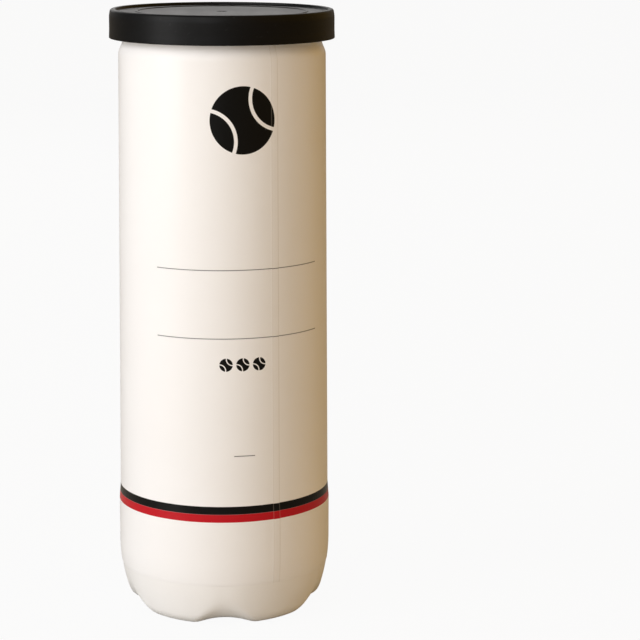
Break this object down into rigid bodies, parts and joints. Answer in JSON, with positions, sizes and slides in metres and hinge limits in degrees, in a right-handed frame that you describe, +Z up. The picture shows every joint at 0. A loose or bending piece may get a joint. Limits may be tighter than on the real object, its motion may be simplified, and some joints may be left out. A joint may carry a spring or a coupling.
{
  "type": "tennis ball can",
  "caption": "Tall round ball can with a five-footed base, sleeve, ring-pull end and overcap, holding a stack of felt balls.",
  "frame": {"origin": "centre of the base on the plane of the five feet", "axes": "+Z up the can's axis, -Y to the front of the can, +X towards the ring-pull's nose"},
  "size_m": [0.0786, 0.0786, 0.2142],
  "materials": {
    "body_plastic": "gloss",
    "sleeve_film": "gloss",
    "end_metal": "satin",
    "seam_compound": "matte",
    "panel_metal": "satin",
    "tab_metal": "satin",
    "cap_plastic": "satin",
    "ball_rubber": "matte",
    "ball_felt": "felt",
    "ball_seam": "matte"
  },
  "bodies": {
    "can": {"can_body": "body_plastic", "sleeve_label": "sleeve_film", "end_ring": "end_metal", "seam_gasket": "seam_compound"},
    "bottom_ball": {"bottom_ball_core_lower": "ball_rubber", "bottom_ball_core_upper": "ball_rubber", "bottom_ball_felt_a": "ball_felt", "bottom_ball_felt_b": "ball_felt", "bottom_ball_seam": "ball_seam"},
    "middle_ball": {"middle_ball_core_lower": "ball_rubber", "middle_ball_core_upper": "ball_rubber", "middle_ball_felt_a": "ball_felt", "middle_ball_felt_b": "ball_felt", "middle_ball_seam": "ball_seam"},
    "top_ball": {"top_ball_core_lower": "ball_rubber", "top_ball_core_upper": "ball_rubber", "top_ball_felt_a": "ball_felt", "top_ball_felt_b": "ball_felt", "top_ball_seam": "ball_seam"},
    "end_panel": {"tear_panel": "panel_metal", "tab_island": "tab_metal"},
    "tab": {"pull_tab": "tab_metal"},
    "cap": {"overcap": "cap_plastic"}
  },
  "joints": [
    {"name": "bottom_ball_lift", "type": "slide", "parent": "can", "child": "bottom_ball", "axis": [0, 0, 1], "range_m": [0, 0.212]},
    {"name": "middle_ball_lift", "type": "slide", "parent": "bottom_ball", "child": "middle_ball", "axis": [0, 0, 1], "range_m": [0, 0.145]},
    {"name": "top_ball_lift", "type": "slide", "parent": "middle_ball", "child": "top_ball", "axis": [0, 0, 1], "range_m": [0, 0.078]},
    {"name": "overcap_lift", "type": "slide", "parent": "top_ball", "child": "cap", "axis": [0, 0, 1], "range_m": [0, 0.125]},
    {"name": "panel_peel", "type": "hinge", "parent": "top_ball", "child": "end_panel", "pos_m": [-0.0332, 0, 0.208], "axis": [0, -1, 0], "range_deg": [0, 65.5]},
    {"name": "tab_lift", "type": "hinge", "parent": "end_panel", "child": "tab", "pos_m": [0.03225, 0, 0.20887], "axis": [0, 1, 0], "range_deg": [0, 100.5]}
  ],
  "couplings": [
    {"joint": "panel_peel", "follows": "overcap_lift", "rad_per_m": 9.07},
    {"joint": "tab_lift", "follows": "overcap_lift", "rad_per_m": 13.96}
  ]
}
